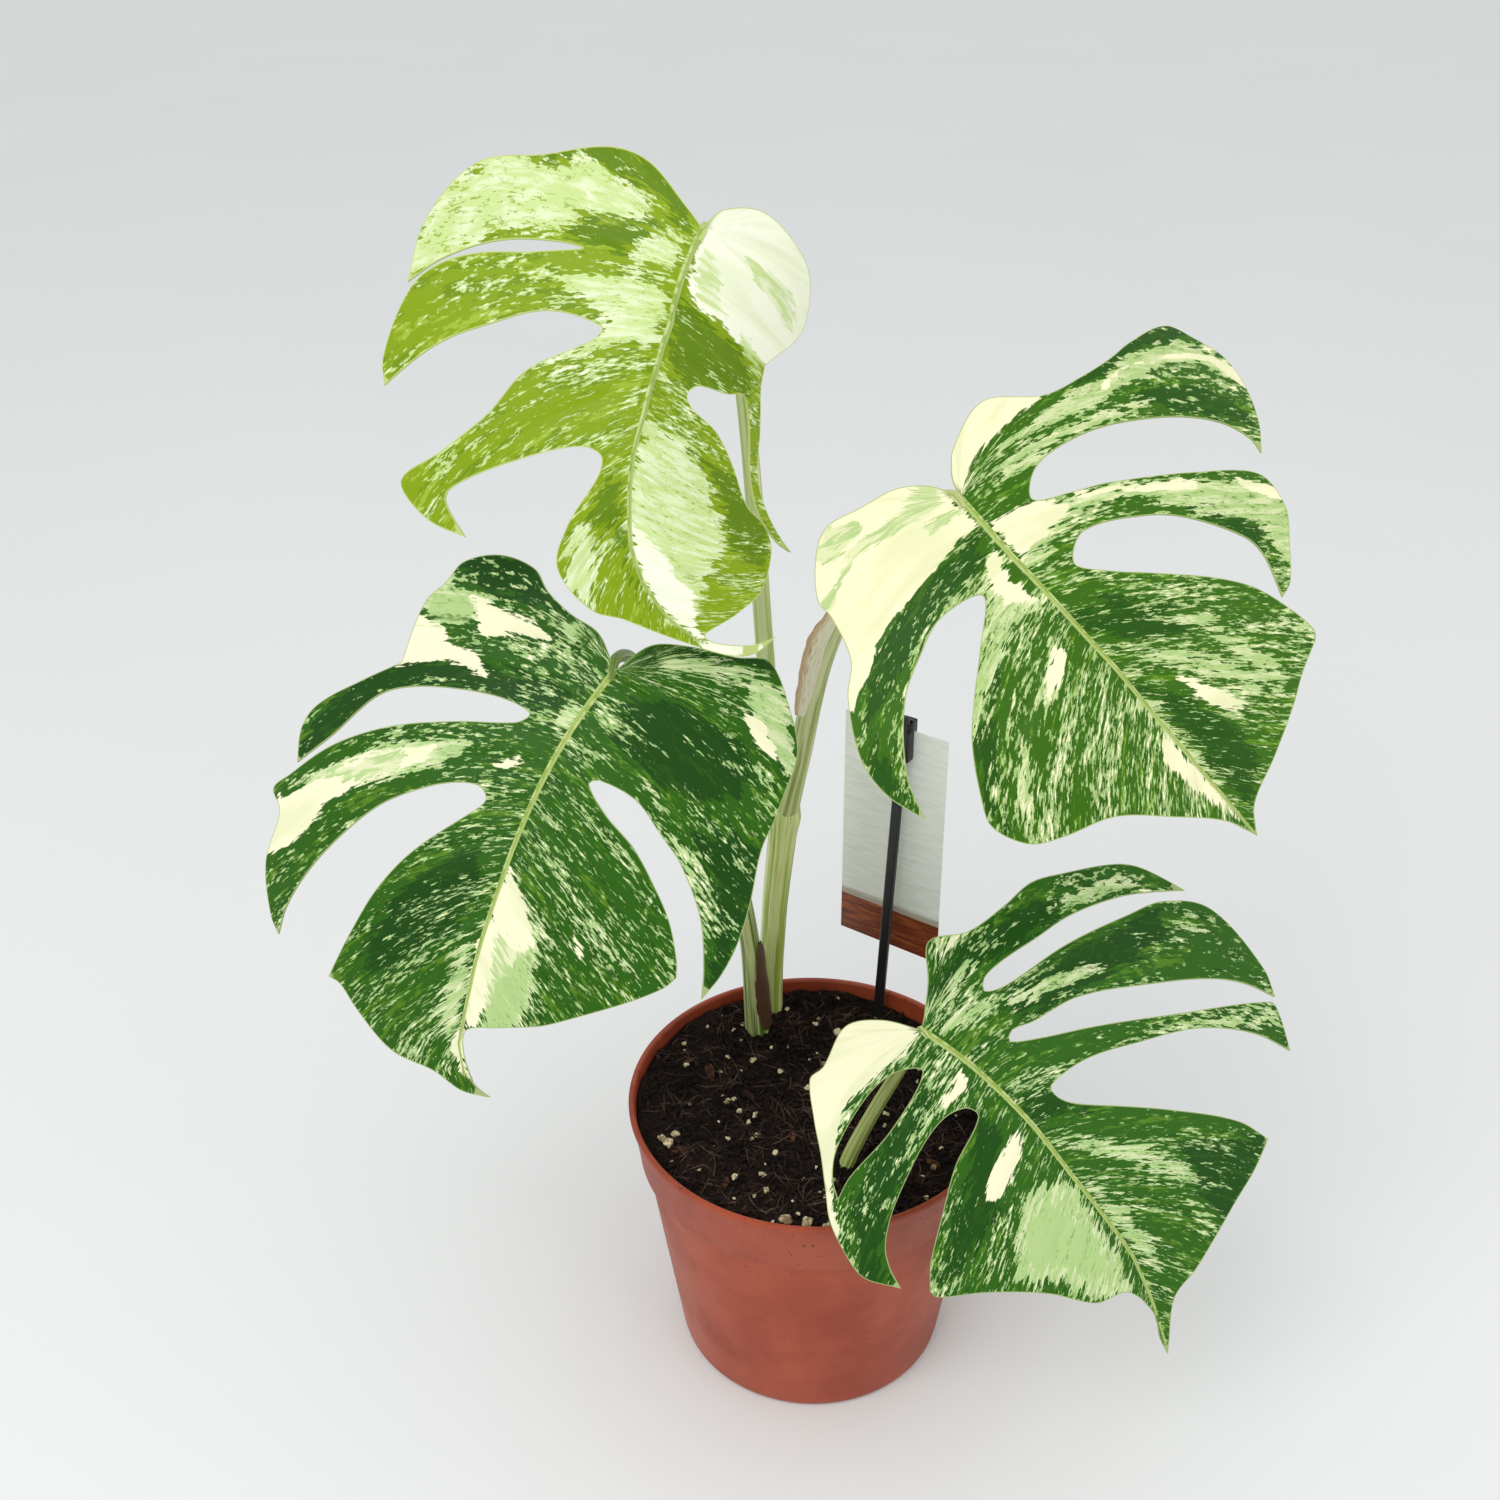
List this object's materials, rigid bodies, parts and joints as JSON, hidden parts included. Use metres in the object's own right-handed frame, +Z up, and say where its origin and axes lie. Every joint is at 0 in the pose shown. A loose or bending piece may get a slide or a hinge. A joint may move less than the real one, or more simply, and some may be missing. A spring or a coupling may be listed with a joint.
{
  "type": "potted variegated monstera",
  "caption": "Young variegated monstera with split heart-shaped leaves on tall stems, in a terracotta-coloured nursery pot of soil, with a blank care label on a stake.",
  "frame": {"origin": "centre of the pot's flat underside, on the floor", "axes": "+Z up, towards the leaves; -Y towards the front, the side the leaves face; +X to the right seen from the front"},
  "size_m": [0.4382, 0.205, 0.5502],
  "materials": {
    "pot_plastic": "satin terracotta-coloured polypropylene",
    "potting_soil": null,
    "stem": null,
    "leaf": null,
    "young_leaf": null,
    "dry_sheath": null,
    "pale_sheath": null,
    "stake_plastic": "satin black plastic",
    "label_board": null
  },
  "bodies": {
    "root": {"pot": "pot_plastic", "soil": "potting_soil", "main_stem": "stem", "petiole_top": "stem", "petiole_left": "stem", "petiole_right": "stem", "petiole_low": "stem", "leaf_top": "young_leaf", "leaf_left": "leaf", "leaf_right": "leaf", "leaf_low": "leaf", "left_petiole_sheath": "dry_sheath", "right_petiole_sheath": "pale_sheath", "label_stake": "stake_plastic", "label_card": "label_board"}
  },
  "joints": []
}
